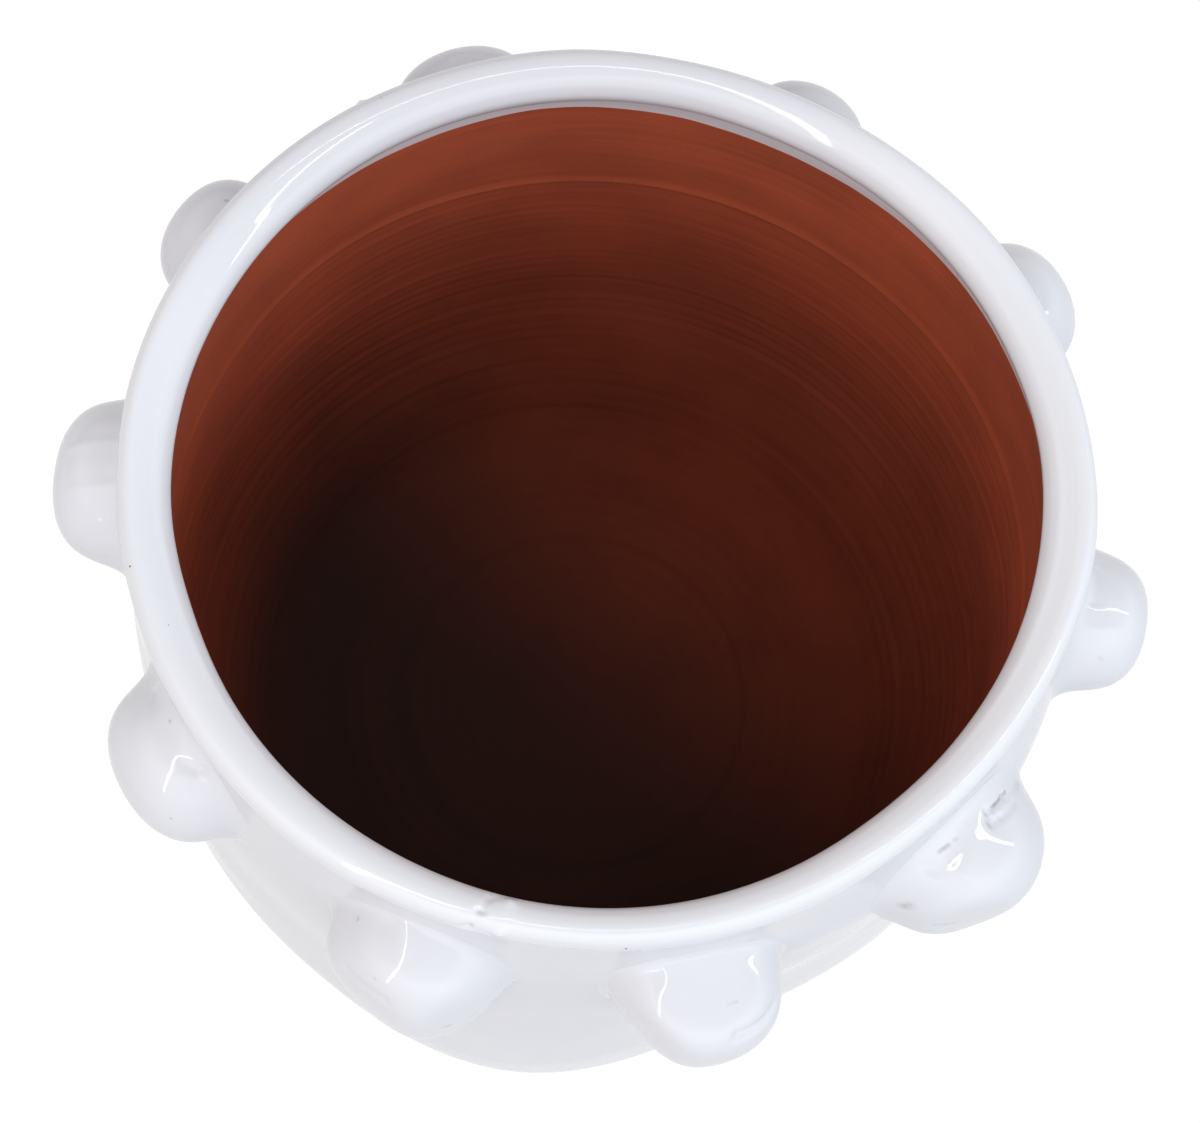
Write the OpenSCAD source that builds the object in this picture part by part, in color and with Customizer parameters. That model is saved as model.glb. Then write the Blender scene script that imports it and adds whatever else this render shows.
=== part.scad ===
// Hand-thrown planter with a rolled rim and a row of clay knobs round its shoulder.
// Millimetres, +Z up. The origin is the middle of the flat underside, on the ground.
// The wall stands on the slab, the roll sits in a cradle along the wall's top edge,
// and each knob's back is cut to the wall's own curve, so all pieces meet face to face.

/* [Overall] */
// Height from the ground to the top of the rim
total_h = 250; // [220:5:290]
// Thickness of the thrown wall, measured level
wall_t = 9.5; // [7:0.5:11]

/* [Rim] */
// Clear width of the mouth, inside the roll
opening_d = 236; // [210:2:256]
// Thickness of the rolled coil that makes the rim
roll_d = 14; // [12:1:18]

/* [Body] */
// Outside width at the belly, the widest part of the wall
belly_d = 294; // [280:2:320]
// Height of the belly above the ground
belly_h = 92; // [75:1:115]
// Outside width of the underside
base_d = 212; // [190:2:240]
// How late the wall leans in between belly and rim, 1 for a straight cone
upper_power = 1.4; // [1.2:0.1:2]
// How late the wall curves in between belly and underside, 1 for a straight cone
lower_power = 1.8; // [1.4:0.1:2.4]

/* [Base] */
// Thickness of the floor slab
slab_t = 14; // [10:1:18]
// Bevel round the slab's lower edge
slab_bevel = 2.5; // [1:0.5:4]
// Radius of the clay pressed into the corner between floor and wall
corner_r = 14; // [8:1:20]

/* [Knobs] */
// Width of a plain knob
knob_d = 46; // [36:1:52]
// How far a plain knob stands out from the wall
knob_h = 22.5; // [16:0.5:28]
// Room between the underside of the roll and the top of a plain knob
knob_gap = 4; // [2:0.5:20]
// Roundness of a knob, 2 for a half ball, more for a flatter end
knob_square = 2.6; // [2:0.1:3.4]
// Extra width of the smoothed skirt where a knob meets the wall
skirt_w = 1.6; // [0.5:0.1:3]
// Height over which the skirt fades into the knob
skirt_fade = 3.2; // [2:0.1:5]

/* [Hidden] */

// One row for each knob, shaped by hand: its angle round the pot in degrees,
// then its width and its length as shares of the plain knob's.
knobs = [
    [186.3, 1.04, 0.92],
    [153, 0.91, 0.98],
    [116.6, 1.04, 1.00],
    [73, 0.94, 0.96],
    [38, 0.96, 0.99],
    [-3.1, 0.90, 1.01],
    [-34.8, 1.00, 1.05],
    [-71, 1.01, 1.05],
    [-102.6, 1.06, 1.00],
    [-138.3, 1.01, 0.88]
];

// Smoothness of the turned pieces, and the steps of their outlines
$fn = 96;
low_steps = 10;
high_steps = 14;
corner_steps = 6;
bevel_steps = 2;
dome_steps = 12;
skirt_steps = 4;

// The roll's middle lies over the middle of the wall's top edge
roll_r = roll_d / 2;
roll_z = total_h - roll_r;
rim_r = opening_d / 2 + roll_r;
neck_r = rim_r + wall_t / 2;
belly_r = belly_d / 2;
base_r = base_d / 2;

// A knob points square to the wall, and its root runs back past the wall's curve
knob_z = roll_z - roll_r - knob_gap - knob_d / 2;
knob_lean = lean_in(knob_z);
skirt_deep = 2 * skirt_fade;
knob_root = 2 * skirt_deep;

glaze_white = [0.92, 0.92, 0.91];
bare_clay = [0.62, 0.27, 0.16];

// Outside radius of the wall at height z
function outer_r(z) = z >= belly_h
    ? belly_r - (belly_r - neck_r) * pow((z - belly_h) / (roll_z - belly_h), upper_power)
    : belly_r - (belly_r - base_r) * pow((belly_h - z) / belly_h, lower_power);

// Degrees by which the wall leans in at height z, between belly and rim
function lean_in(z) = atan(upper_power * (belly_r - neck_r) / (roll_z - belly_h)
    * pow((z - belly_h) / (roll_z - belly_h), upper_power - 1));

// How far the rounded inside corner stands in from the wall at height z
function corner_in(z) = z < slab_t + corner_r
    ? corner_r - sqrt(pow(corner_r, 2) - pow(slab_t + corner_r - z, 2))
    : 0;

// Inside radius of the wall at height z
function inner_r(z) = outer_r(z) - wall_t - corner_in(z);

// Heights from low to high in equal steps
function heights(low, high, steps) = [for (i = [0:steps]) low + (high - low) * i / steps];

// Heights of the wall's outline from low to the roll, with one at the belly
function levels(low) = [
    each heights(low, belly_h, low_steps),
    for (z = heights(belly_h, roll_z, high_steps)) if (z > belly_h) z
];

// The wall's outer and inner outlines from height low up, as [radius, height]
function outer_side(low) = [for (z = levels(low)) [outer_r(z), z]];
function inner_side(low) = [
    for (z = heights(low, low + corner_r, corner_steps)) [inner_r(z), z],
    for (z = levels(low + corner_r)) if (z > low + corner_r) [inner_r(z), z]
];

// The same points in the other order
function backwards(points) = [for (i = [len(points) - 1:-1:0]) points[i]];

// A knob's half width at height h above the wall, skirt included
function skirt_at(h) = skirt_w * exp(-h / skirt_fade);

// Outline of a knob from its root to its tip, as [radius, height]
function knob_outline(d, h) = [
    [0, -knob_root],
    for (z = heights(-skirt_deep, 0, skirt_steps)) [d / 2 + skirt_at(z), z],
    for (i = [1:dome_steps - 1])
        let (a = 90 * i / dome_steps, z = h * pow(sin(a), 2 / knob_square))
        [d / 2 * pow(cos(a), 2 / knob_square) + skirt_at(z), z],
    [0, h]
];

// The coil's round section, at its place in the half plane
module roll_section() {
    translate([rim_r, roll_z]) circle(d = roll_d);
}

// Everything inside the wall's outer face and over it, used to shape what is pressed on it
module filled_body() {
    rotate_extrude() polygon([[0, 0], each outer_side(0), [neck_r, total_h], [0, total_h]]);
}

module body_wall() {
    color(glaze_white)
        rotate_extrude()
            difference() {
                polygon([each outer_side(slab_t), each backwards(inner_side(slab_t))]);
                roll_section();
            }
}

module rim_roll() {
    color(glaze_white) rotate_extrude() roll_section();
}

module base_slab() {
    color(bare_clay)
        rotate_extrude()
            polygon([
                [0, 0],
                [base_r - slab_bevel, 0],
                for (z = heights(slab_bevel, slab_t, bevel_steps)) [outer_r(z), z],
                [0, slab_t]
            ]);
}

module knob(row) {
    color(glaze_white)
        difference() {
            rotate([0, 0, row[0]])
                translate([outer_r(knob_z), 0, knob_z])
                    rotate([0, 90 - knob_lean, 0])
                        rotate_extrude() polygon(knob_outline(knob_d * row[1], knob_h * row[2]));
            filled_body();
            rotate_extrude() roll_section();
        }
}

module knob_01() { knob(knobs[0]); }
module knob_02() { knob(knobs[1]); }
module knob_03() { knob(knobs[2]); }
module knob_04() { knob(knobs[3]); }
module knob_05() { knob(knobs[4]); }
module knob_06() { knob(knobs[5]); }
module knob_07() { knob(knobs[6]); }
module knob_08() { knob(knobs[7]); }
module knob_09() { knob(knobs[8]); }
module knob_10() { knob(knobs[9]); }

body_wall();
rim_roll();
base_slab();
knob_01();
knob_02();
knob_03();
knob_04();
knob_05();
knob_06();
knob_07();
knob_08();
knob_09();
knob_10();
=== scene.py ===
import bpy, math
import numpy as np
from mathutils import Matrix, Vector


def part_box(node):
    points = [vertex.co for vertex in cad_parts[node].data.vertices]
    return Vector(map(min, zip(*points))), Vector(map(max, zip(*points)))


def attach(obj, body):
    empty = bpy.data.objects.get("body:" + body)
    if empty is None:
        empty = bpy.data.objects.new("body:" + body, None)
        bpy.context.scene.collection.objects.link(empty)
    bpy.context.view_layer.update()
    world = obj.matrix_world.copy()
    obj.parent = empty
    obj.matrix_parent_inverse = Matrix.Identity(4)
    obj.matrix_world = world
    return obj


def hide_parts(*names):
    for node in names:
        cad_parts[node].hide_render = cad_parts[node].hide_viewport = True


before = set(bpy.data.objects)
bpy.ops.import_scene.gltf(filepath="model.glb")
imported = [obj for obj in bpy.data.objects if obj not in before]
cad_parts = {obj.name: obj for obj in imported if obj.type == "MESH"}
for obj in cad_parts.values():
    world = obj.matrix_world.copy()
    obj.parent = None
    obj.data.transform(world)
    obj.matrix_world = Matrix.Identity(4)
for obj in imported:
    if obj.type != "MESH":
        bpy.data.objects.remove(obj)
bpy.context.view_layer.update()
mm = 0.001
turn = 2 * math.pi

# Sizes that the frame gives: the roll's section, the belly and the slab
rollLow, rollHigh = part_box("rim_roll")
rollRadius = (rollHigh.z - rollLow.z) / 2
rimHeight = rollHigh.z - rollRadius
rimRadius = rollHigh.x - rollRadius
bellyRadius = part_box("body_wall")[1].x
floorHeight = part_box("base_slab")[1].z

# The camera looks down on the mouth. Its aim puts the rim's middle so many pixels right of and above
# the middle of the picture
view = dict(distance=500 * mm, elevation=67.15, roll=9.61, focalPixels=1842, widePixels=1200,
            rightPixels=11.7, abovePixels=92.2)


# Stands a camera or a lamp at a place, its own three axes along right, above and backward
def stand(thing, place, right, above, backward):
    thing.matrix_world = Matrix([*zip(right, above, backward, place), (0, 0, 0, 1)])
    bpy.context.scene.collection.objects.link(thing)


def makeCamera():
    up, side = math.radians(view["elevation"]), math.radians(view["roll"])
    back = np.array([0, -math.cos(up), math.sin(up)])
    level = np.array([1.0, 0, 0])
    steep = np.cross(back, level)
    right = math.cos(side) * level + math.sin(side) * steep
    above = math.cos(side) * steep - math.sin(side) * level
    backward = view["focalPixels"] * back + view["rightPixels"] * right + view["abovePixels"] * above
    backward /= np.linalg.norm(backward)
    right = np.cross(above, backward)
    right /= np.linalg.norm(right)
    data = bpy.data.cameras.new("camera")
    data.sensor_width = 36
    data.lens = view["focalPixels"] / view["widePixels"] * data.sensor_width
    data.clip_start = 0.02
    camera = bpy.data.objects.new("camera", data)
    stand(camera, np.array([0, 0, rimHeight]) + back * view["distance"], right,
          np.cross(backward, right), backward)
    bpy.context.scene.camera = camera


makeCamera()
print("camera set")


# A smooth closed curve through values at equal steps round the pot (Catmull-Rom)
def around(angle, values):
    values = np.asarray(values, float)
    place = angle / turn * len(values)
    start = np.floor(place).astype(int)
    f = place - start
    a, b, c, d = [values[(start + k) % len(values)] for k in (-1, 0, 1, 2)]
    return b + 0.5 * f * (c - a + f * (2 * a - 5 * b + 4 * c - d + f * (3 * (b - c) + d - a)))


# 0 below low, 1 above high, and a smooth S between
def ease(value, low, high):
    t = np.clip((value - low) / (high - low), 0, 1)
    return t * t * (3 - 2 * t)


# A bell: exp of minus the square of the distance over the width
def bell(distance, width):
    return np.exp(-(distance / width) ** 2)


# Slow unevenness: a few cosine waves in angle and height, each with its own phase
def lumps(angle, height, seed, waves=9, slow=2, fast=7, reach=90 * mm):
    rng = np.random.default_rng(seed)
    total = np.zeros(np.broadcast(angle, height).shape)
    for i in range(waves):
        turns, climb = rng.integers(slow, fast + 1), rng.normal() * turn / reach
        total = total + np.cos(turns * angle + climb * height + rng.uniform(0, turn)) / math.sqrt(waves)
    return total


# Marks of a finger or a tool: each is a line from one point to another, with a bell of the distance
# to that line times its rise. A short line is a dimple or a bead. The third axis counts by depth, so
# that a straight line still follows a curved face
def strokes(points, marks, depth=1.0):
    total = np.zeros(points.shape[:-1])
    scale = np.array((1, 1, depth))
    for start, end, width, rise in marks:
        start, end = np.array(start) * scale, np.array(end) * scale
        run = end - start
        along = np.clip((points * scale - start) @ run / max(run @ run, 1e-9), 0, 1)
        away = np.linalg.norm(points * scale - start - along[..., None] * run, axis=-1)
        total = total + rise * bell(away, width)
    return total


# Presses a shape against flat faces: what passes a plane by some distance is pulled back by
# soft * log(1 + exp(distance / soft)), so the edge of the flat stays round
def press(points, flats):
    for normal, reach, soft in flats:
        normal = np.array(normal, float) / np.linalg.norm(normal)
        excess = points @ normal - reach
        points = points - (soft * np.logaddexp(0, excess / soft))[..., None] * normal
    return points


# Unit normals of a grid of points: the cross product of its steps along the rows and the columns
def gridNormals(points):
    across = np.roll(points, -1, axis=1) - np.roll(points, 1, axis=1)
    normals = np.cross(np.gradient(points, axis=0), across)
    return normals / np.maximum(np.linalg.norm(normals, axis=-1, keepdims=True), 1e-12)


def polar(radius, angle, height):
    return np.stack(np.broadcast_arrays(radius * np.cos(angle), radius * np.sin(angle), height), -1)


# A mesh from a grid of points. Columns close round the pot, and rows close too or end in poles
def gridPiece(name, points, closeRows=False, poles=(), attributes=None, sharp=None):
    rows, columns = points.shape[:2]
    index = np.arange(rows * columns).reshape(rows, columns)
    if closeRows:
        index = np.concatenate([index, index[:1]])
    beside = np.roll(index, -1, axis=1)
    quads = np.stack([index[:-1], beside[:-1], beside[1:], index[1:]], -1).reshape(-1, 4)
    corners, sizes, allPoints = [quads.ravel()], [np.full(len(quads), 4)], [points.reshape(-1, 3)]
    for k, pole in enumerate(poles):
        ring = index[0][::-1] if k == 0 else index[-1]
        fan = np.stack([np.full(columns, rows * columns + k), ring, np.roll(ring, -1)], -1)
        corners.append(fan.ravel())
        sizes.append(np.full(columns, 3))
        allPoints.append(np.reshape(pole, (1, 3)))
    allPoints, corners, sizes = map(np.concatenate, (allPoints, corners, sizes))
    mesh = bpy.data.meshes.new(name)
    mesh.vertices.add(len(allPoints))
    mesh.vertices.foreach_set("co", allPoints.ravel())
    mesh.loops.add(len(corners))
    mesh.loops.foreach_set("vertex_index", corners.astype(np.int32))
    mesh.polygons.add(len(sizes))
    mesh.polygons.foreach_set("loop_start", (np.cumsum(sizes) - sizes).astype(np.int32))
    mesh.update(calc_edges=True)
    mesh.polygons.foreach_set("use_smooth", np.ones(len(sizes), bool))
    for label, values in (attributes or {}).items():
        values = np.broadcast_to(values, (rows, columns))
        ends = [values[0].mean(), values[-1].mean()][:len(poles)]
        layer = mesh.attributes.new(label, "FLOAT", "POINT")
        layer.data.foreach_set("value", np.concatenate([values.ravel(), ends]).astype(np.float32))
    if sharp:
        mesh.set_sharp_from_angle(angle=math.radians(sharp))
    piece = bpy.data.objects.new(name, mesh)
    bpy.context.scene.collection.objects.link(piece)
    return piece


def finishPiece(piece, material, node):
    piece.data.materials.append(material)
    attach(piece, "root")
    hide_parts(node)


# Shader maths as Python expressions: a Wire is one socket, a Nodes is one material's tree
class Wire:
    def __init__(self, nodes, socket):
        self.nodes, self.socket = nodes, socket

    def calc(self, operation, a, b):
        return self.nodes.add("ShaderNodeMath", dict(operation=operation), {0: a, 1: b})

    def __add__(self, other):
        return self.calc("ADD", self, other)

    def __radd__(self, other):
        return self.calc("ADD", other, self)

    def __sub__(self, other):
        return self.calc("SUBTRACT", self, other)

    def __rsub__(self, other):
        return self.calc("SUBTRACT", other, self)

    def __mul__(self, other):
        return self.calc("MULTIPLY", self, other)

    def __rmul__(self, other):
        return self.calc("MULTIPLY", other, self)

    def larger(self, other):
        return self.calc("MAXIMUM", self, other)


class Nodes:
    def __init__(self, holder):
        self.holder = holder
        holder.use_nodes = True
        self.tree = holder.node_tree
        self.tree.nodes.clear()

    # Any node: its settings come first, then its sockets' values or links
    def add(self, kind, settings=None, inputs=None, output=0):
        made = self.tree.nodes.new(kind)
        for key, value in (settings or {}).items():
            setattr(made, key, value)
        for key, value in (inputs or {}).items():
            if isinstance(value, Wire):
                self.tree.links.new(value.socket, made.inputs[key])
            else:
                made.inputs[key].default_value = value
        return Wire(self, made.outputs[output]) if made.outputs else None

    def objectPlace(self):
        return self.add("ShaderNodeTexCoord", output="Object")

    def height(self):
        return self.add("ShaderNodeSeparateXYZ", None, {0: self.objectPlace()}, output="Z")

    # How far a place lies toward a direction: the dot product of the two
    def toward(self, direction, place=None):
        return self.add("ShaderNodeVectorMath", dict(operation="DOT_PRODUCT"), output="Value",
                        inputs={0: place or self.objectPlace(), 1: direction})

    def noise(self, scale, detail=2.0, rough=0.5, stretch=(1, 1, 1), shift=(0, 0, 0)):
        where = self.add("ShaderNodeMapping", None,
                         {"Vector": self.objectPlace(), "Scale": stretch, "Location": shift})
        return self.add("ShaderNodeTexNoise", None,
                        {"Vector": where, "Scale": scale, "Detail": detail, "Roughness": rough})

    # 0 below low, 1 above high
    def step(self, value, low, high):
        return self.add("ShaderNodeMapRange", dict(interpolation_type="SMOOTHSTEP"),
                        {"Value": value, "From Min": low, "From Max": high})

    def mix(self, factor, a, b):
        return self.add("ShaderNodeMix", dict(data_type="RGBA"), {0: factor, 6: a, 7: b}, output=2)

    def attribute(self, name):
        return self.add("ShaderNodeAttribute", dict(attribute_name=name), output="Fac")


# Scales are counts of a pattern per metre
glaze = dict(
    white=(0.88, 0.88, 0.89, 1), cool=(0.86, 0.87, 0.89, 1), warm=(0.88, 0.85, 0.86, 1), rough=0.05,
    # painted shade: the first colour on the next line is a darker white that the wall, the base and the
    # knobs are mixed toward; the second is thinner glaze darkened by painted shade under the roll; the
    # third serves stains and painted shade in grooves
    glazeShade=(0.62, 0.60, 0.63, 1), thinShaded=(0.78, 0.70, 0.70, 1), stainAndShadeColour=(0.36, 0.31, 0.28, 1),
    coolScale=9, warmScale=38, warmShare=0.5, mottleScale=320,
    waveScale=45, waveRise=0.12, rippleScale=160, rippleRise=0.03,
    # painted shade: the glaze is darker toward the back of the pot, from here to there toward that side
    backShadeShare=0.62, backShadeSide=math.radians(112), backShadeFrom=50 * mm, backShadeTo=150 * mm,
    # where the glaze ends inside, how much that line wavers, how far above it the glaze is thinner and
    # darkened by painted shade under the roll, and its end at the foot
    edgeHeight=230.2 * mm, edgeWaver=2 * mm, edgeSoft=0.25 * mm, thinShadeDepth=5 * mm,
    footHeight=5 * mm, footWaver=4 * mm, footSoft=0.2 * mm)
clay = dict(
    plain=(0.47, 0.082, 0.026, 1), pale=(0.56, 0.13, 0.05, 1), dark=(0.36, 0.062, 0.02, 1), rough=0.92,
    patchScale=22, grainScale=1400, gritScale=420, grainRise=0.12,
    lineScale=14, lineSquash=22, lineRise=0.5,
    # painted shade: the clay darkens toward the floor and up the wall, most of it toward one side
    shadedClay=(0.016, 0.009, 0.0062, 1), shadeHigh=75 * mm, shadeLean=-0.35,
    shadeSide=math.radians(240), shadeMost=0.96, shadeLeast=0.44, shadeFrom=-130 * mm, shadeTo=30 * mm)
bumpDepth = 0.4 * mm


# One finish for every piece: opaque white glaze over red clay, and a mask that says where the clay is bare
def potFinish(name, bareMask=None, thinShadeMask=None, glazeShade=0.0):
    n = Nodes(bpy.data.materials.new(name))
    white = n.mix(n.step(n.noise(glaze["coolScale"]), 0.35, 0.65), glaze["cool"], glaze["white"])
    warmth = n.step(n.noise(glaze["warmScale"], 3, 0.6, shift=(3, 1, 2)), 0.5, 0.8)
    white = n.mix(warmth * glaze["warmShare"], white, glaze["warm"])
    # painted shade: the glaze turns darker toward the back of the pot
    back = n.toward(polar(1, glaze["backShadeSide"], 0))
    backShade = n.step(back, glaze["backShadeFrom"], glaze["backShadeTo"]) * glaze["backShadeShare"]
    # painted shade: the white is mixed toward a darker one by the piece's share, on top of the back's
    white = n.mix(glazeShade + backShade, white, glaze["glazeShade"])
    # thinner glaze and painted shade under the roll, just above the glaze's end inside
    if thinShadeMask:
        white = n.mix(thinShadeMask(n), white, glaze["thinShaded"])
    # real stains, and painted shade in a few grooves, a crevice and the coil's seam, darken the glaze here
    mottled = n.attribute("stainAndShade") * (0.3 + 1.4 * n.noise(glaze["mottleScale"], 2, 0.6))
    white = n.mix(n.step(mottled, 0.1, 1.1), white, glaze["stainAndShadeColour"])
    grain, grit = n.noise(clay["grainScale"], 2, 0.6), n.noise(clay["gritScale"], 3, 0.6)
    wheelLines = n.noise(clay["lineScale"], 3, 0.6, stretch=(1, 1, clay["lineSquash"]))
    patches = n.step(n.noise(clay["patchScale"], 3, 0.55), 0.3, 0.7)
    body = n.mix(patches, clay["dark"], clay["plain"])
    body = n.mix(n.step(wheelLines, 0.35, 0.7) * 0.6, body, clay["plain"])
    body = n.mix(n.step(grain, 0.55, 0.75) * 0.35, body, clay["pale"])
    # painted highlight: the clay is paler where the rings and the ridge stand out into the pot
    body = n.mix(n.step(n.attribute("ringHighlight"), 0.25, 0.9) * 0.55, body, clay["pale"])
    # painted shade: the clay darkens deep inside, most toward one side, and in the rim's pinholes
    body = n.mix(n.attribute("clayShade"), body, clay["shadedClay"])
    bare = bareMask(n) if bareMask else 0.0
    waves = n.noise(glaze["waveScale"], 1, 0.4, shift=(5, 5, 5)) * glaze["waveRise"]
    ripple = n.noise(glaze["rippleScale"], 1, 0.4) * glaze["rippleRise"] + waves
    gritty = (grain + grit) * clay["grainRise"] + wheelLines * clay["lineRise"]
    relief = ripple * (1 - bare) + gritty * bare
    normal = n.add("ShaderNodeBump", None, {"Strength": 1.0, "Distance": bumpDepth, "Height": relief})
    shader = n.add("ShaderNodeBsdfPrincipled", None, {
        "Base Color": n.mix(bare, white, body), "Normal": normal,
        "Roughness": glaze["rough"] + bare * (clay["rough"] - glaze["rough"])})
    n.add("ShaderNodeOutputMaterial", None, {"Surface": shader})
    return n.holder


wall = dict(
    thick=9.5 * mm, bellyHeight=92 * mm, footRadius=106 * mm, cornerRadius=14 * mm,
    upperPower=1.4, lowerPower=1.8, bellySoft=0.08,
    columns=384, outerRows=70, cornerRows=20, innerRows=158,
    # how far the hand-made belly and shoulder stray in or out, in mm every 30 degrees from +X
    bellyStray=(0, 0, 0, 0, 0, 0, 0, -1, -2.8, 1.2, -8.5, -3), footCalm=60 * mm,
    shoulderStray=(2, 1, 0.8, 0, 0, 0, 0, 0, 0, 0, 0, 5), shoulderHeight=205 * mm, shoulderWidth=24 * mm,
    # the rim's stray takes over from the belly's between these heights, and all of it is a little uneven
    rimStrayFrom=130 * mm, rimStrayTo=215 * mm, uneven=0.25 * mm,
    # each throwing ring: its size and pitch in mm, its turns to one side and its phase
    rings=((0.15, 5.3, 1, 0), (0.07, 4.1, -1, 1), (0.12, 9.7, 1, 2)),
    ringCalm=0.75, ringCalmFrom=174 * mm, ringCalmTo=186 * mm,
    ridgeHeight=179 * mm, ridgeRise=0.8 * mm, ridgeWidth=1.5 * mm, ridgeWander=0.7 * mm,
    wipedDepth=0.25 * mm, wipedFrom=182 * mm, wipedTo=192 * mm,
    # where the roll is pressed on, the wall flares by this much and fades over that height
    flare=0.6 * mm, flareFade=5 * mm)


# A power of the share of the way, rounded near 0 so that the belly has no crease
def softPower(share, power):
    soft = wall["bellySoft"]
    low, high = [(s * s + soft * soft) ** (power / 2) - soft ** power for s in (share, 1)]
    return low / high


# Outside radius of the true wall: the belly less a power of the share of the way up or down
def trueRadius(height):
    neck = rimRadius + wall["thick"] / 2
    up = np.clip((height - wall["bellyHeight"]) / (rimHeight - wall["bellyHeight"]), 0, 1)
    down = np.clip((wall["bellyHeight"] - height) / wall["bellyHeight"], 0, 1)
    return (bellyRadius - (bellyRadius - neck) * softPower(up, wall["upperPower"])
            - (bellyRadius - wall["footRadius"]) * softPower(down, wall["lowerPower"]))


# The hand-made wall: the true one, plus the rim's stray near the top, the belly's lower down and the
# shoulder's between them
def outerRadius(angle, height):
    high = ease(height, wall["rimStrayFrom"], wall["rimStrayTo"])
    free = ease(height, 0, wall["footCalm"])
    shoulder = bell(height - wall["shoulderHeight"], wall["shoulderWidth"])
    stray = (high * around(angle, rim["stray"]) + (1 - high) * free * around(angle, wall["bellyStray"])
             + shoulder * around(angle, wall["shoulderStray"]))
    flare = wall["flare"] * np.exp((height - rimHeight) / wall["flareFade"])
    return trueRadius(height) + mm * stray + flare + wall["uneven"] * free * lumps(angle, height, 3)


# How dark the painted shade inside is: more of it toward one side
def shadeAt(angle, radius):
    share = ease(radius * np.cos(angle - clay["shadeSide"]), clay["shadeFrom"], clay["shadeTo"])
    return clay["shadeLeast"] + (clay["shadeMost"] - clay["shadeLeast"]) * share


# The wall is one closed shell: its outside from the floor up, then its inside back down, with turned
# rings, one bold ridge and a wiped band above it, and a rounded corner at the floor
def makeWall():
    angle = np.arange(wall["columns"]) / wall["columns"] * turn
    outerHeight = np.linspace(floorHeight, rimHeight, wall["outerRows"])[:, None]
    outer = polar(outerRadius(angle, outerHeight), angle, outerHeight)
    arc = np.linspace(0, turn / 4, wall["cornerRows"] + 1)
    cornerHeight = floorHeight + wall["cornerRadius"] * (1 - np.cos(arc))
    above = np.linspace(cornerHeight[-1], rimHeight, wall["innerRows"])
    height = np.concatenate([cornerHeight[:-1], above])[:, None]
    cornerIn = np.concatenate([wall["cornerRadius"] * (1 - np.sin(arc[:-1])), 0 * above])[:, None]
    calm = 1 - wall["ringCalm"] * ease(height, wall["ringCalmFrom"], wall["ringCalmTo"])
    fade = ease(height, floorHeight + 2 * mm, floorHeight + 16 * mm)
    swell = 0.75 + 0.35 * lumps(angle, height, 11, slow=1, fast=4)
    turned = sum(size * np.cos(turn * height / (pitch * mm) + side * angle + phase)
                 for size, pitch, side, phase in wall["rings"])
    ridgeLine = wall["ridgeHeight"] + wall["ridgeWander"] * np.cos(2 * angle + 0.6)
    ridgeShape = bell(height - ridgeLine, wall["ridgeWidth"]) * (0.7 + 0.3 * np.cos(angle - 1.9))
    ridge = wall["ridgeRise"] * ridgeShape
    smears = lumps(angle, height, 21, slow=5, fast=12, reach=60 * mm)
    wiped = wall["wipedDepth"] * ease(height, wall["wipedFrom"], wall["wipedTo"]) * smears
    inward = turned * mm * calm * fade * swell + ridge + wiped
    innerRadius = outerRadius(angle, height) - wall["thick"] - cornerIn
    inner = polar(innerRadius - inward, angle, height)
    inside = np.concatenate([np.zeros(len(outer)), np.ones(len(inner))])[:, None]
    # painted highlight on the crests of the rings and the ridge
    ringHighlight = np.concatenate([np.zeros(outer.shape[:2]), (inward / mm)[::-1]])
    # painted shade deep inside, most toward one side
    shadeHigh = clay["shadeHigh"] * (1 + clay["shadeLean"] * np.cos(angle - clay["shadeSide"]))
    low = bell(height - floorHeight, shadeHigh) * shadeAt(angle, innerRadius)
    clayShade = np.concatenate([np.zeros(outer.shape[:2]), low[::-1]])
    return gridPiece("body_wall_shell", np.concatenate([outer, inner[::-1]]), closeRows=True, sharp=50,
                     attributes=dict(inside=inside, ringHighlight=ringHighlight, clayShade=clayShade))


# Inside, the glaze ends at a wavering line under the rim
def wallBare(n):
    edge = glaze["edgeHeight"] + (n.noise(30) - 0.5) * glaze["edgeWaver"]
    return n.attribute("inside") * (1 - n.step(n.height() - edge, -glaze["edgeSoft"], glaze["edgeSoft"]))


# Just above that line the glaze is thinner, and painted shade darkens it under the roll
def wallThinShaded(n):
    high = n.step(n.height(), glaze["edgeHeight"], glaze["edgeHeight"] + glaze["thinShadeDepth"])
    return n.attribute("inside") * (1 - high)


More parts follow.
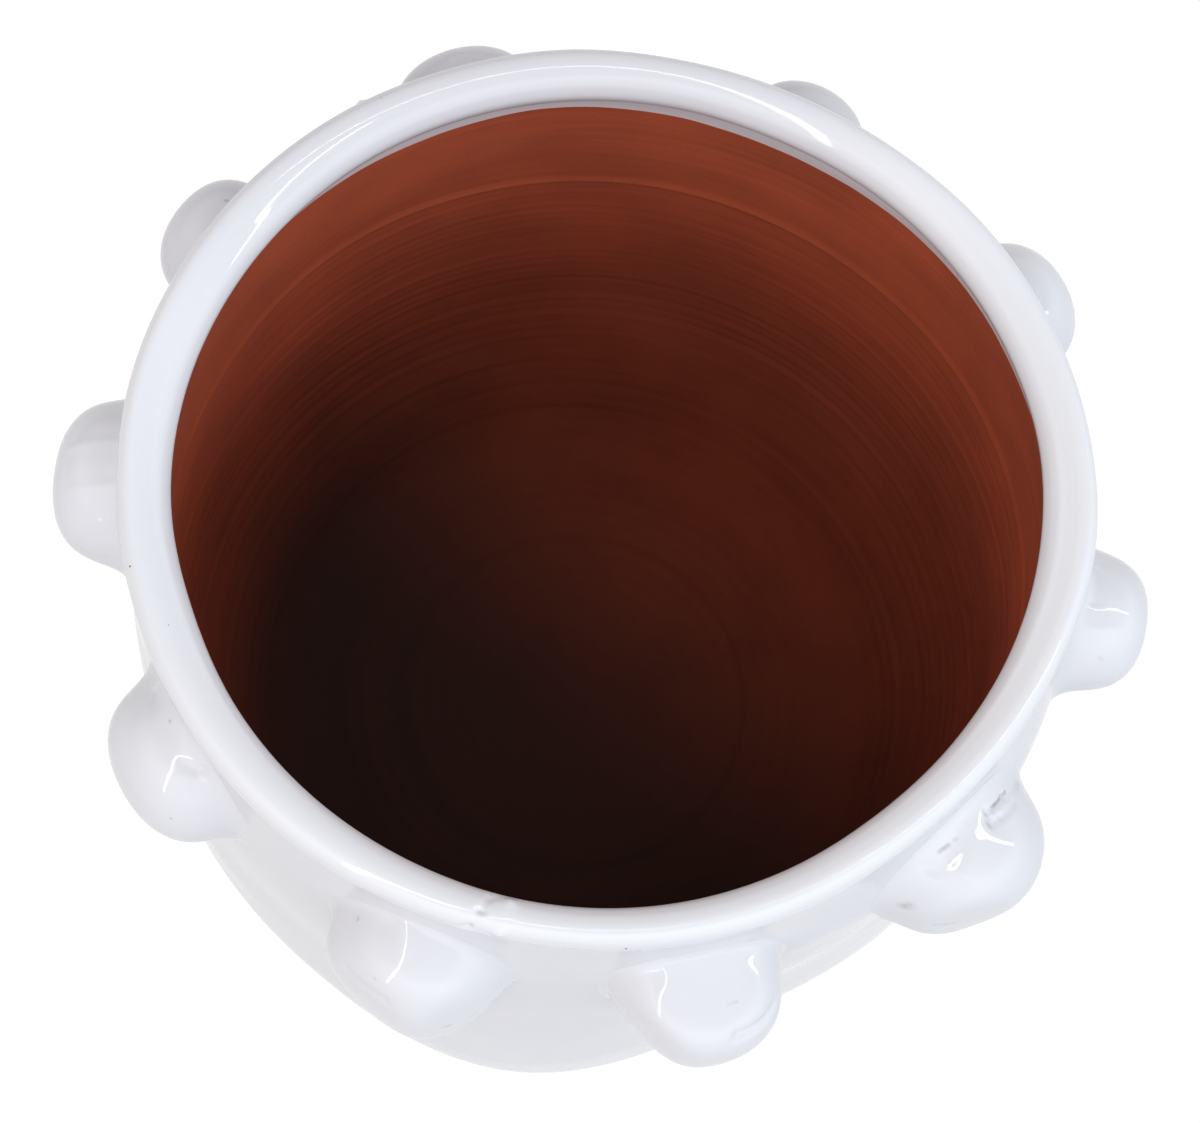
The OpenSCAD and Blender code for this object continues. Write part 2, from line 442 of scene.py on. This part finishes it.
rim = dict(
    columns=900, sectionPoints=88,
    # how far the coil strays in or out, and its half width, in mm every 15 degrees from +X
    stray=(0.4, 1.0, 0.7, 0.3, -0.6, -1.0, -0.5, 0.2, 0.2, 0.4, 0.2, 0.0,
           0.1, -0.1, -0.8, -0.5, -0.5, -0.9, -1.3, -1.7, -2.6, -3.6, -3.0, -1.5),
    half=(7.2, 6.8, 6.9, 6.9, 6.5, 6.7, 6.5, 7.0, 7.1, 7.5, 7.7, 7.6,
          7.4, 7.0, 7.1, 6.7, 6.3, 5.8, 5.3, 5.4, 5.6, 5.8, 6.0, 6.4),
    # how clearly the inner lip stands apart from the roll, every 30 degrees
    lip=(1.0, 0.7, 0.15, 0.0, 0.05, 0.6, 1.0, 0.75, 0.5, 0.4, 0.5, 0.75),
    # two outlines of the coil, as (share of the half width outward, mm up from its middle), from the
    # crease outside over the top: a plain roll, and a roll with a lower lip inside it
    plain=((0.74, -4.2), (0.97, -1.2), (0.98, 1.8), (0.80, 4.8), (0.42, 6.7), (0.02, 7.0), (-0.34, 6.4),
           (-0.66, 4.8), (-0.90, 2.2), (-1.0, -0.7), (-0.90, -3.4), (-0.66, -5.8), (-0.1, -6.4),
           (0.45, -5.8)),
    lipped=((0.74, -4.2), (0.97, -1.2), (0.98, 1.8), (0.84, 4.9), (0.54, 6.8), (0.20, 6.7),
            (-0.12, 5.8), (-0.34, 5.1), (-0.62, 4.2), (-0.90, 1.6), (-0.99, -1.4), (-0.70, -5.8),
            (-0.1, -6.4), (0.45, -5.8)),
    # painted shade darkens the bare clay in the pinholes by the last number on the next line
    uneven=0.15, pinholeDepth=0.3, stainShadeDepth=0.6, clayShade=0.6,
    # hand marks as (angle, mm outward, mm up) to the same, then width and rise in mm
    marks=(((262.3, 6.5, 2), (263.8, 1, 6.5), 0.9, -1.3), ((263.8, 1, 6.5), (264.6, -5, 4), 0.9, -0.7),
           ((266.2, 5.5, 4), (266.8, -4, 5), 1.6, 0.8), ((131.2, 6.8, 0), (132, 7.2, 2), 1.6, 1.1)),
    # stains in the glaze, the same way, with their strength, and pinholes, each a place and a radius in
    # mm. Both stains are painted shade along the groove of the coil's seam
    stainsAndShade=(((261.8, 6.6, 1.5), (263.2, 4.6, 4.6), 0.6, 0.8),
            ((264.3, -4.0, 4), (264.6, -5.5, 2), 0.6, 0.5)),
    pinholes=(((130, 3.3, 6), 0.45), ((139, 2.5, 6.5), 0.4), ((203.5, 4.9, 5), 0.55),
              ((212, -0.3, 5), 0.5), ((280.5, 5.2, 2), 0.45)))


# The coil: one closed outline carried round the mouth. It turns from the plain into the lipped outline
# by the lip's share, and its width and its distance from the axis follow the hand
def makeRim():
    angle = np.arange(rim["columns"]) / rim["columns"] * turn
    t = np.arange(rim["sectionPoints"]) / rim["sectionPoints"] * turn
    lip = np.clip(around(angle, rim["lip"]), 0, 1)
    out, up = [around(t, [p[k] for p in rim["plain"]])[:, None] * (1 - lip)
               + around(t, [p[k] for p in rim["lipped"]])[:, None] * lip for k in (0, 1)]
    up = up + rim["uneven"] * lumps(angle, 0, 5, slow=2, fast=6) * ease(up, -5, 0)
    middle = rimRadius + mm * around(angle, rim["stray"])
    points = polar(middle + mm * out * around(angle, rim["half"]), angle, rimHeight + mm * up)
    marks, stainsAndShade = [[(rimPlace(start), rimPlace(end), *rest) for start, end, *rest in rim[key]]
                     for key in ("marks", "stainsAndShade")]
    holes = [(rimPlace(place), rimPlace(place), radius, 1) for place, radius in rim["pinholes"]]
    points = points - mm * strokes(points / mm, marks)[..., None] * gridNormals(points)
    bareClay = strokes(points / mm, holes, rim["pinholeDepth"])
    stainAndShade = strokes(points / mm, stainsAndShade, rim["stainShadeDepth"])
    return gridPiece("rim_coil", points, closeRows=True,
                     attributes=dict(bareClay=bareClay, stainAndShade=stainAndShade, clayShade=rim["clayShade"]))


# A place on the rim, in mm, from (angle, mm outward, mm up) about the coil's middle line
def rimPlace(place):
    degrees, out, up = place
    angle = math.radians(degrees)
    radius = rimRadius / mm + around(np.array(angle), rim["stray"]) + out
    return np.array([radius * math.cos(angle), radius * math.sin(angle), rimHeight / mm + up])


slab = dict(
    bevel=2.5 * mm, columns=256, topRows=120, sideRows=8, underRadii=(103.5, 80, 40, 10),
    ringRadius=68 * mm, ringDepth=0.7 * mm, ringWidth=2.2 * mm, spiralPitch=6.5 * mm, spiralRise=0.16 * mm,
    # the spiral starts near the middle, and the marks fade out before the radius that is seen
    spiralFrom=4 * mm, spiralTo=20 * mm, seenRadius=93 * mm, fadeWidth=6 * mm, bareShare=0.96,
    # painted shade: the floor darkens, a little more in the ring and along the wall
    clayShade=0.985, ringShade=0.015, ringShadeWidth=6 * mm,
    wallShade=0.015, wallShadeFrom=70 * mm, wallShadeTo=92 * mm)


# The slab: its top with the spiral that the potter's finger leaves and one deeper ring, then the edge of
# the foot, the bevel and the flat underside
def makeSlab():
    angle = np.arange(slab["columns"]) / slab["columns"] * turn
    share = np.linspace(0, 1, slab["topRows"] + 1)[1:, None]
    radius = share * outerRadius(angle, floorHeight)
    fade = 1 - ease(radius, slab["seenRadius"] - slab["fadeWidth"], slab["seenRadius"])
    spiral = slab["spiralRise"] * np.cos(turn * radius / slab["spiralPitch"] + angle)
    spiral = spiral * ease(radius, slab["spiralFrom"], slab["spiralTo"])
    groove = slab["ringDepth"] * bell(radius - slab["ringRadius"], slab["ringWidth"])
    upper = polar(radius, angle, floorHeight + fade * (spiral - groove))
    sideHeight = np.linspace(floorHeight, slab["bevel"], slab["sideRows"])[1:, None]
    side = polar(outerRadius(angle, sideHeight), angle, sideHeight)
    under = polar(np.array(slab["underRadii"])[:, None] * mm, angle, 0)
    outside = np.zeros((len(side) + len(under), slab["columns"]))
    bareTop = share + 0 * radius < slab["bareShare"]
    inside = np.concatenate([bareTop, outside])[::-1]
    # painted shade in the ring and along the wall
    ringShade = slab["ringShade"] * bell(radius - slab["ringRadius"], slab["ringShadeWidth"])
    wallShade = slab["wallShade"] * ease(radius, slab["wallShadeFrom"], slab["wallShadeTo"])
    clayShade = shadeAt(angle, radius) * (slab["clayShade"] + ringShade + wallShade)
    clayShade = np.concatenate([clayShade, outside])[::-1]
    return gridPiece("base_disc", np.concatenate([upper, side, under])[::-1], sharp=40,
                     poles=((0, 0, 0), (0, 0, floorHeight)), attributes=dict(inside=inside, clayShade=clayShade))


# The slab is bare inside, and outside below a wavering line near the ground
def slabBare(n):
    edge = glaze["footHeight"] + (n.noise(25) - 0.5) * glaze["footWaver"]
    low = 1 - n.step(n.height() - edge, -glaze["footSoft"], glaze["footSoft"])
    return n.attribute("inside").larger(low)


# Each knob: its angle round the pot, width along the rim, size up the wall and length in mm, and how
# square it is. Flats, dents and stains are in mm along the rim, up the wall and out of it
# some of the knobs' stains are painted shade, in the grooves of knob_07's loop and in knob_09's crevice
knobs = dict(
    height=209 * mm, rows=96, columns=240, fillet=4.5, tailRows=14, tailWidth=3 * mm, root=1.2 * mm,
    # how a mark counts the distance out of the wall, and where a knob's own shape takes over from the wall
    dentDepth=0.3, stainShadeDepth=0.6, firmFrom=-0.2 * mm, firmTo=1.5 * mm, clingShare=0.75, poleDepth=6 * mm,
    list=dict(
        knob_01=dict(
            angle=186.4, wide=48.0, tall=45.5, long=21.1, square=2.5,
            dents=(((-3, 22.5, 4), (-2, 17, 15), 1.6, 0.35), ((9, 21.5, 3), (10, 17, 12.5), 1.6, 0.35))),
        knob_02=dict(angle=153, wide=41.0, tall=46.0, long=21.8, square=2.7,
                     stainsAndShade=(((-4.6, 22, 8), (-4.2, 22, 8.3), 0.6, 0.9),)),
        knob_03=dict(angle=116.6, wide=48.0, tall=43.0, long=22.6, square=2.5,
                     dents=(((-5, 20.5, 10), (2, 19, 13), 1.4, -0.6),)),
        knob_04=dict(angle=73, wide=42.0, tall=44.0, long=21.5, square=2.5),
        knob_05=dict(angle=38, wide=44.0, tall=42.0, long=22.3, square=2.5),
        knob_06=dict(
            angle=-3.1, wide=40.5, tall=41.7, long=20.8, square=2.6,
            dents=(((7, 20.6, 1.5), (-2.5, 21.2, 3.5), 0.9, -0.5),
                   ((-8.5, 18.5, 7), (-8, 18.5, 8), 1.2, 0.25)),
            stainsAndShade=(((-14.9, 13, 7.9), (-15.6, 12.2, 8.8), 0.8, 0.4),)),
        # a narrow loop of clay lies on the top of this one
        knob_07=dict(
            angle=-35.7, wide=49.0, tall=44.0, long=22.0, square=2.1,
            flats=(((-0.55, 0, 0.83), 19.8, 1.5),),
            dents=(((21.5, 13, 0), (13, 19.2, 0.5), 0.55, -0.8),
                   ((13, 19.2, 0.5), (6, 21.9, 1.6), 0.55, -0.9),
                   ((6, 21.9, 1.6), (4.2, 21.4, 4.2), 0.55, -0.9),
                   ((4.2, 21.4, 4.2), (8, 20.4, 5.2), 0.55, -0.7),
                   ((8, 20.4, 5.2), (15, 17, 4), 0.55, -0.6),
                   ((21, 12, 1.5), (7, 21.1, 3.4), 1.3, 0.4),
                   ((-15.2, 18, 0.6), (-2.9, 22.3, 1.5), 1.3, -0.6),
                   ((-3, 22, 2), (-10, 18.6, 8), 1.8, 0.5),
                   ((-23, -11, 2), (-17, -17, 2), 7, 2.2)),
            stainsAndShade=(((-10.8, 21, -0.6), (-7.6, 21.8, 0.2), 0.7, 0.6),
                    ((-6, 22.2, 0.4), (-5, 22.2, 0.8), 0.5, 0.5),
                    ((-26, 5, 1), (-21, 8, 1.5), 1.6, 0.55),
                    ((-20, 0.5, 9), (-16, -0.5, 12), 1.5, 0.45),
                    # painted shade: these two darken the grooves of the loop
                    ((15, 18.3, 0.8), (6.2, 21.9, 1.8), 0.5, 0.8),
                    ((6.2, 21.9, 1.8), (4.2, 21.4, 4.2), 0.5, 0.8))),
        knob_08=dict(
            angle=-70.8, wide=47.0, tall=45.0, long=23.6, square=2.35, fillet=2.5,
            flats=(((0.05, 0.93, 0.35), 19.8, 2.4), ((-0.8, 0, 0.6), 20.5, 2.5)),
            dents=(((6.8, 10.4, 20.2), (18, 8.7, 16), 1.4, -1.1),
                   ((-24, 3, 0), (-20, -2, 7), 1.0, -0.9),
                   ((-6, 18.5, 10), (-9, 19, 5), 1.6, 0.3)),
            stainsAndShade=(((-7.4, 18.3, 8.8), (-7, 18.3, 8.9), 0.5, 0.7),
                    ((5.2, 15.2, 12.8), (8, 15.2, 12.5), 0.4, 0.5))),
        knob_09=dict(
            angle=-102.6, wide=49.0, tall=45.0, long=22.5, square=2.35, fillet=2.5,
            flats=(((0.73, 0.1, 0.68), 20.8, 1.5),
                   ((0.3, 0.5, 0.8), 24.5, 1.5),
                   ((-0.35, 0.0, 0.93), 20.2, 3.5)),
            dents=(((24.5, -2.5, -0.5), (21.5, -3, 4), 1.2, -1.5),
                   ((-4, 23.5, 1), (25, 0, -1.5), 2.0, 0.7),
                   ((-14, 10, 14), (-2, 12, 19), 1.8, -0.5)),
            # painted shade: the first darkens the crevice at the right corner
            stainsAndShade=(((24.8, -2, -0.5), (22, -3, 3.0), 1.2, 1.2),
                    ((13.5, -1, 15), (15.5, -2, 14), 0.9, 0.5),
                    ((-16, 17.4, 2.5), (-15.8, 17.3, 2.9), 0.5, 0.6),
                    ((-6, 16.6, 15), (-5.5, 16.4, 15.3), 0.6, 0.4))),
        knob_10=dict(
            angle=-138.2, wide=47.5, tall=45.5, long=19.8, square=2.25,
            dents=(((-14.5, 19.7, 1.9), (11.2, 21.6, 2.5), 1.2, -0.7),
                   ((11.2, 21.6, 2.5), (27, -2, -2), 1.2, -0.5)),
            stainsAndShade=(((-3.9, 23.6, 3.1), (-3.5, 23.6, 3.3), 0.5, 0.6),
                    ((15.5, 9.7, 13.6), (15.8, 9.4, 13.6), 0.45, 0.7)))))


# A knob's middle on the wall and its own axes: along the rim, up the wall and out of it
def knobAxes(k):
    angle, height, step = math.radians(k["angle"]), knobs["height"], 1 * mm
    lean = math.atan((trueRadius(height - step) - trueRadius(height + step)) / (2 * step))
    middle = polar(outerRadius(np.array(angle), height), angle, height)
    aside = np.array([-math.sin(angle), math.cos(angle), 0])
    outward = polar(math.cos(lean), angle, math.sin(lean))
    return middle, aside, np.cross(outward, aside), outward


# A knob: a dome whose half width and height are powers of the sine and cosine of one angle, on a fillet
# that falls off as exp of minus the height, pressed flat in places and marked by hand. Its foot is
# dropped along the knob's axis onto the wall by Newton steps
def makeKnob(name, k):
    middle, aside, upward, outward = knobAxes(k)
    turns = np.arange(knobs["columns"]) / knobs["columns"] * turn
    half = np.hypot(k["wide"] / 2 * np.cos(turns), k["tall"] / 2 * np.sin(turns)) * mm
    rise = k["long"] * mm
    a = np.linspace(0, turn / 4, knobs["rows"])[1:, None]
    domeHeight = rise * np.clip(np.cos(a), 0, 1) ** (2 / k["square"]) + 0 * turns
    fillet = k.get("fillet", knobs["fillet"]) * mm
    skirt = fillet * np.exp(-domeHeight / (0.55 * fillet))
    domeRadius = half * np.sin(a) ** (2 / k["square"]) + skirt
    tail = np.linspace(0, 1, knobs["tailRows"])[1:, None]
    radius = np.concatenate([domeRadius, domeRadius[-1] + knobs["tailWidth"] * tail])
    up = np.concatenate([domeHeight, -knobs["root"] * tail ** 2 + 0 * turns])
    x, y = radius * np.cos(turns), radius * np.sin(turns)
    flat = middle + x[..., None] * aside + y[..., None] * upward
    drop = np.zeros(x.shape)
    for i in range(6):
        p = flat + drop[..., None] * outward
        miss = np.hypot(p[..., 0], p[..., 1]) - outerRadius(np.arctan2(p[..., 1], p[..., 0]), p[..., 2])
        drop = drop - miss
    cling = 1 - ease(up, 0, knobs["clingShare"] * rise)
    own = np.stack([x, y, drop * cling + up], -1) / mm
    tip = np.array([[[0, 0, k["long"]]]])
    shaped = [press(p, k.get("flats", ())) for p in (own, tip)]
    firm = ease(up, knobs["firmFrom"], knobs["firmTo"])[..., None]
    own = own + firm * (shaped[0] - own)
    own = own + firm * strokes(own, k.get("dents", ()), knobs["dentDepth"])[..., None] * gridNormals(own)
    stainAndShade = strokes(own, k.get("stainsAndShade", ()), knobs["stainShadeDepth"])[::-1]
    axes = np.array([aside, upward, outward]) * mm
    poles = (middle - knobs["poleDepth"] * outward, middle + (shaped[1] @ axes)[0, 0])
    points = middle + own @ axes
    return gridPiece(name + "_clay", points[::-1], poles=poles, attributes=dict(stainAndShade=stainAndShade))


# On the rim the clay is bare where a pinhole's mark says so, with a ragged edge
def markedBare(n):
    return n.step(n.attribute("bareClay") + n.noise(500) * 0.5, 0.75, 0.9)


# painted shade: the wall and the base are mixed 0.32 and the knobs 0.25 toward the darker white, the rim
# not at all
finishPiece(makeWall(), potFinish("wall_finish", wallBare, wallThinShaded, glazeShade=0.32), "body_wall")
print("wall made")
finishPiece(makeRim(), potFinish("rim_finish", markedBare), "rim_roll")
print("rim made")
finishPiece(makeSlab(), potFinish("base_finish", slabBare, glazeShade=0.32), "base_slab")
print("base made")
knobFinish = potFinish("knob_finish", glazeShade=0.25)
for name, k in knobs["list"].items():
    finishPiece(makeKnob(name, k), knobFinish, name)
print("knobs made")

# The room: bright walls and a dark round ceiling, which leans over to the back right and starts and is
# full at these cosines from its middle. Its light is cooler from the right. A lamp is
# (azimuth, elevation, distance, width, height, watts, colour) from the rim's middle
room = dict(
    walls=1.16, front=0.45, frontSide=-42, low=0.68, rise=0.75,
    ceiling=0.42, ceilingLean=11, ceilingSide=60, ceilingStart=0.5, ceilingFull=0.74,
    coolSide=-30, coolFull=0.95, cool=(0.9, 0.975, 1.08, 1), plain=(1.02, 0.99, 1.01, 1),
    floorSize=12, floorColour=(0.3, 0.3, 0.3, 1), paper=(0.95, 0.95, 0.95, 1), paperShare=0.85,
    paperGlow=1.08, mirroredShare=0.75)
lamps = dict(
    longStrip=(-118, 60, 1.3, 0.09, 2.8, 5.0, (1, 1, 1)),
    sideStrip=(5, 51, 1.3, 0.07, 1.15, 2.5, (0.85, 0.93, 1.0)))


def makeRoom():
    world = bpy.data.worlds.new("studio")
    bpy.context.scene.world = world
    n = Nodes(world)
    look = n.add("ShaderNodeTexCoord", output="Generated")
    lean, side, coolSide, frontSide = [math.radians(room[key]) for key in (
        "ceilingLean", "ceilingSide", "coolSide", "frontSide")]
    overhead = n.toward(polar(math.sin(lean), side, math.cos(lean)), look)
    high = n.step(overhead, room["ceilingStart"], room["ceilingFull"])
    coolness = n.step(n.toward(polar(1, coolSide, 0), look), 0, room["coolFull"])
    colour = n.mix(coolness, room["plain"], room["cool"])
    walls = (room["walls"] * (1 + room["front"] * n.toward(polar(1, frontSide, 0), look))
             * (room["low"] + room["rise"] * n.toward((0, 0, 1), look)))
    strength = walls * (1 - high) + room["ceiling"] * high
    sky = n.add("ShaderNodeBackground", None, {"Color": colour, "Strength": strength})
    n.add("ShaderNodeOutputWorld", None, {"Surface": sky})


# A pale floor. The camera sees part of it as white paper, so that the shadow stays
def makeFloor():
    s = room["floorSize"]
    mesh = bpy.data.meshes.new("floor")
    mesh.from_pydata([(-s, -s, 0), (s, -s, 0), (s, s, 0), (-s, s, 0)], [], [(0, 1, 2, 3)])
    floor = bpy.data.objects.new("floor", mesh)
    bpy.context.scene.collection.objects.link(floor)
    n = Nodes(bpy.data.materials.new("floor_paper"))
    straight, mirrored = [n.add("ShaderNodeLightPath", output=f"Is {kind} Ray")
                          for kind in ("Camera", "Glossy")]
    seen = straight.larger(mirrored * room["mirroredShare"])
    colour = n.mix(seen, room["floorColour"], room["paper"])
    paper = n.add("ShaderNodeBsdfDiffuse", None, {"Color": colour})
    white = n.add("ShaderNodeEmission", None, {"Color": (1, 1, 1, 1), "Strength": room["paperGlow"]})
    both = n.add("ShaderNodeMixShader", None, {0: seen * room["paperShare"], 1: paper, 2: white})
    n.add("ShaderNodeOutputMaterial", None, {"Surface": both})
    mesh.materials.append(n.holder)


def makeLamp(name, azimuth, elevation, distance, wide, tall, watts, colour):
    data = bpy.data.lights.new(name, "AREA")
    data.shape = "RECTANGLE"
    data.size, data.size_y, data.energy, data.color = wide, tall, watts, colour
    side, up = math.radians(azimuth), math.radians(elevation)
    outward = polar(math.cos(up), side, math.sin(up))
    right = np.array([-math.sin(side), math.cos(side), 0])
    lamp = bpy.data.objects.new(name, data)
    stand(lamp, np.array([0, 0, rimHeight]) + outward * distance, right, np.cross(outward, right), outward)


makeRoom()
makeFloor()
for name, settings in lamps.items():
    makeLamp(name, *settings)
bpy.context.scene.view_settings.view_transform = "Standard"
print("room lit")
